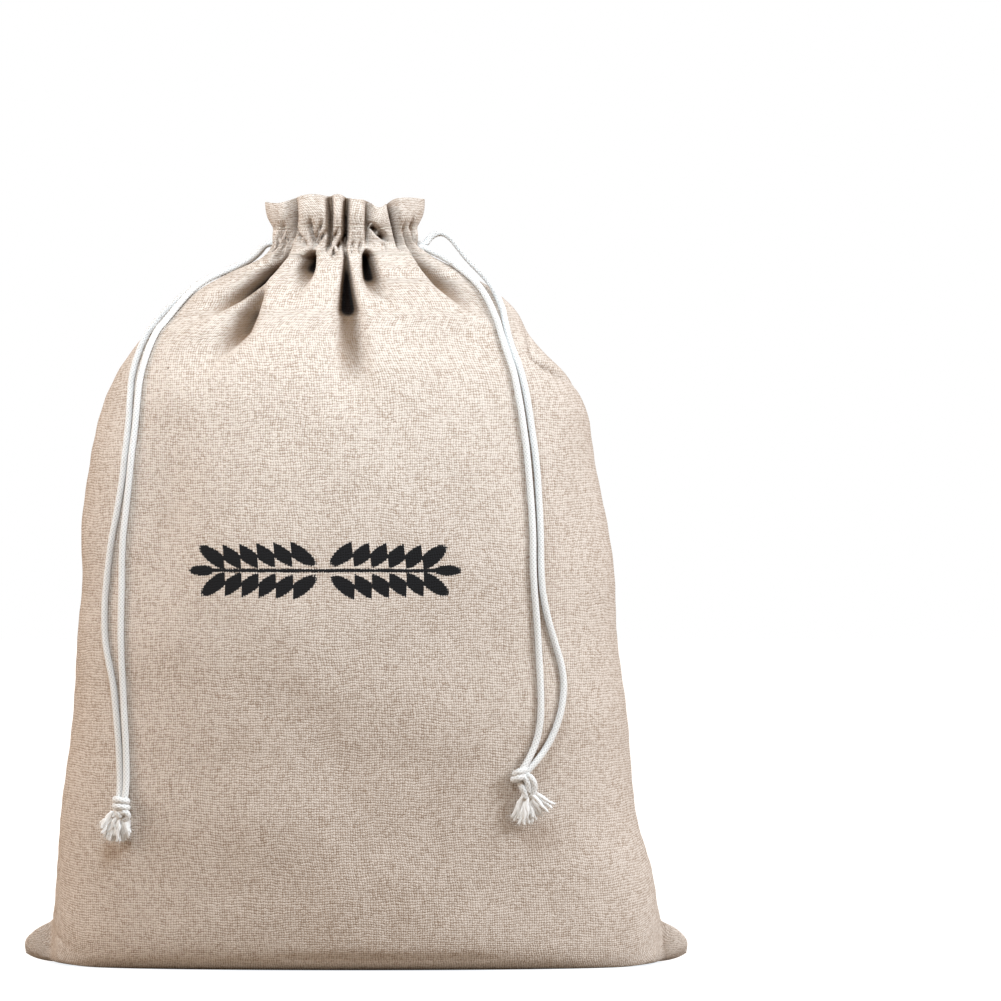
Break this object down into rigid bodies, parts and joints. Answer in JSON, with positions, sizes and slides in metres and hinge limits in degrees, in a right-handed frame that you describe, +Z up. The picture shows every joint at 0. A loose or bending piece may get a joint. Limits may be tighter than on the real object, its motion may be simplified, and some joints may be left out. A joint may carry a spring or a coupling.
{
  "type": "linen drawstring bread bag",
  "caption": "Filled-out linen drawstring bag standing on its base, neck gathered shut by two cotton cords whose knotted, frayed tails hang down the front",
  "frame": {"origin": "middle of the flat base, on the surface the bag stands on", "axes": "+Z up, -Y the front with the cord tails, +X to the viewer's right"},
  "size_m": [0.304, 0.1321, 0.3533],
  "materials": {
    "linen_front": "oatmeal linen and cotton canvas, plain weave",
    "linen_back": "oatmeal linen and cotton canvas, plain weave",
    "cord_cotton": "white braided cotton cord, matt",
    "knot_cotton": "white braided cotton, frayed ends"
  },
  "bodies": {
    "root": {"front_panel": "linen_front", "back_panel": "linen_back", "left_outer_cord": "cord_cotton", "left_inner_cord": "cord_cotton", "right_arch_cord": "cord_cotton", "right_low_cord": "cord_cotton", "left_knot": "knot_cotton", "right_knot": "knot_cotton"}
  },
  "joints": []
}
